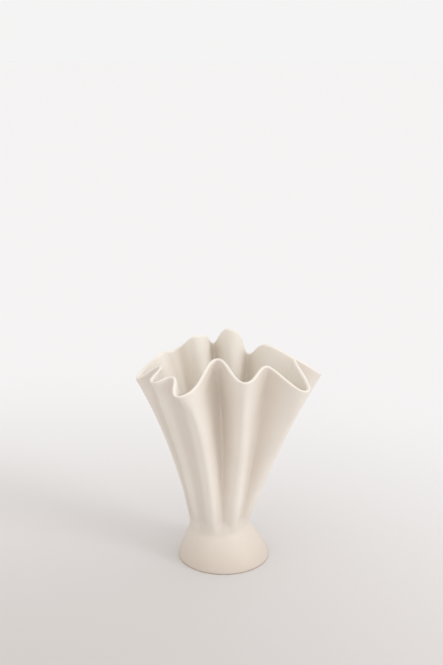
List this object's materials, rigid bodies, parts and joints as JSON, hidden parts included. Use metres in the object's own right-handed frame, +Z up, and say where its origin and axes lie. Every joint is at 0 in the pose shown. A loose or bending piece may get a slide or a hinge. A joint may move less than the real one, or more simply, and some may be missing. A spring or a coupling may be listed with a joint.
{
  "type": "fan vase",
  "caption": "Hand-built ivory stoneware vase with a hollow domed foot, a pinched waist and a fluted wall that flares to an oval, ruffled mouth.",
  "frame": {"origin": "centre of the foot's resting ring, on the table", "axes": "+Z up through the vase, +X along the mouth's long way to the viewer's right, +Y to the back"},
  "size_m": [0.2191, 0.1618, 0.2755],
  "materials": {
    "ivory_glaze": "satin-matt ivory glaze with a fine sandy grain"
  },
  "bodies": {
    "root": {"fluted_wall": "ivory_glaze", "waist_coil": "ivory_glaze", "cup_floor": "ivory_glaze", "domed_foot": "ivory_glaze"}
  },
  "joints": []
}
